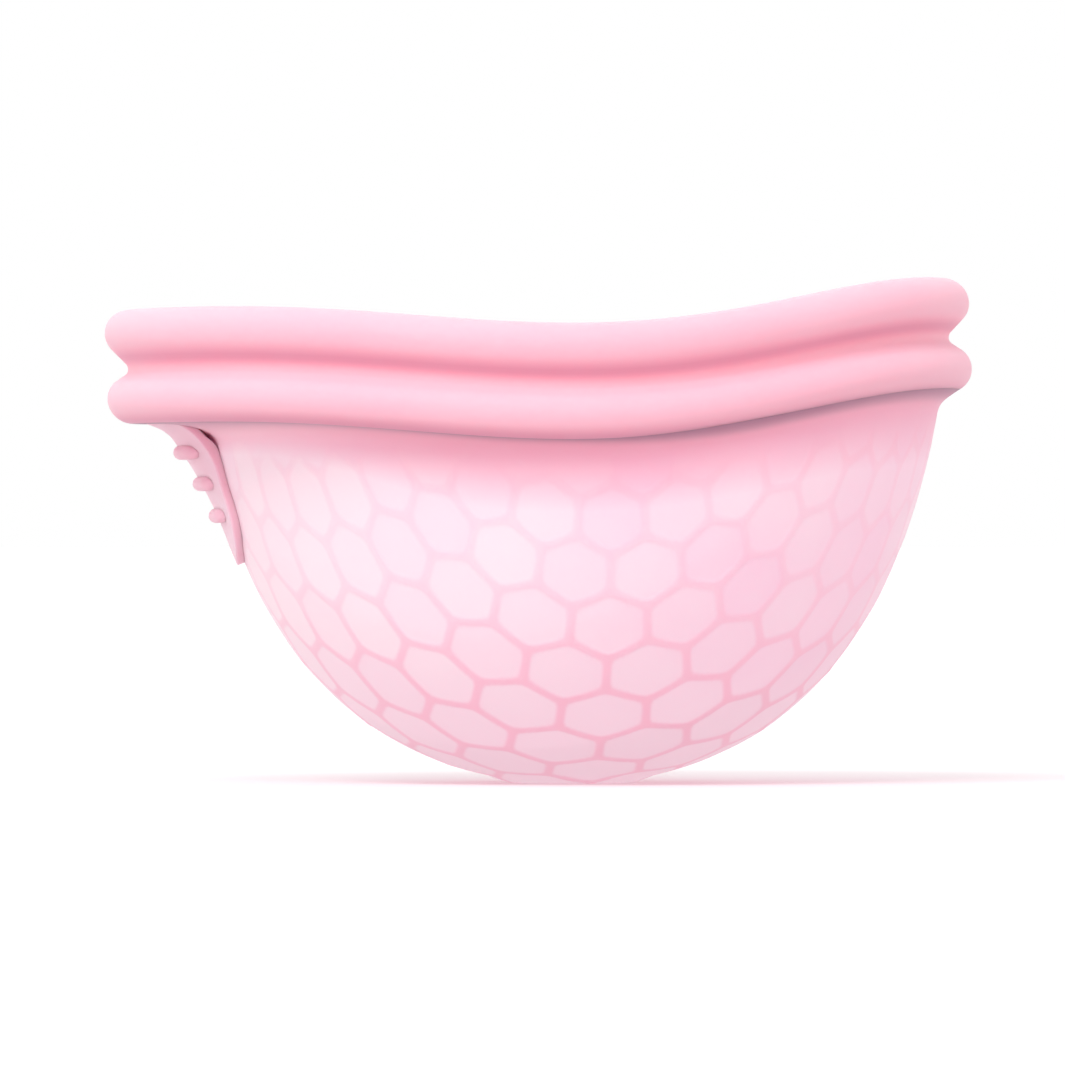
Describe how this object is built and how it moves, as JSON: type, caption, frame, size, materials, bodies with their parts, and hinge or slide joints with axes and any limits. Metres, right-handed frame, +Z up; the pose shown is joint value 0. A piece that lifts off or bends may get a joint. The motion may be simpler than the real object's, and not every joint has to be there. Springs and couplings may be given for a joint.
{
  "type": "silicone menstrual disc",
  "caption": "Reusable soft disc: an oval rim of two stacked beads with a wavy edge over a thin round honeycomb bowl, with a ridged pull tab at one end.",
  "frame": {"origin": "centre of the flat foot under the bowl, on the bowl's axis", "axes": "+Z up out of the bowl's mouth, X along the rim's long axis with the pull tab at -X, Y across; the XZ plane is the plane of symmetry"},
  "size_m": [0.0748, 0.07, 0.0435],
  "materials": {
    "rim_silicone": "satin",
    "bowl_silicone": "satin",
    "tab_silicone": "satin"
  },
  "bodies": {
    "cup": {"rim_upper_bead": "rim_silicone", "rim_web": "rim_silicone", "rim_lower_bead": "rim_silicone", "rim_shelf": "rim_silicone", "bowl_wall": "bowl_silicone", "tab_root": "tab_silicone"},
    "bowl_bottom": {"bowl_base": "bowl_silicone"},
    "tab": {"pull_tab": "tab_silicone", "grip_ridge_upper": "tab_silicone", "grip_ridge_middle": "tab_silicone", "grip_ridge_lower": "tab_silicone"}
  },
  "joints": [
    {"name": "bowl_press", "type": "slide", "parent": "cup", "child": "bowl_bottom", "axis": [0, 0, 1], "range_m": [0, 0.012], "stiffness_N_per_m": 60, "springref_m": -0.005},
    {"name": "tab_flex", "type": "hinge", "parent": "cup", "child": "tab", "pos_m": [-0.0341, 0, 0.0298], "axis": [0, 1, 0], "range_deg": [0, 60], "stiffness_Nm_per_rad": 0.0006, "springref_deg": -6.88}
  ]
}
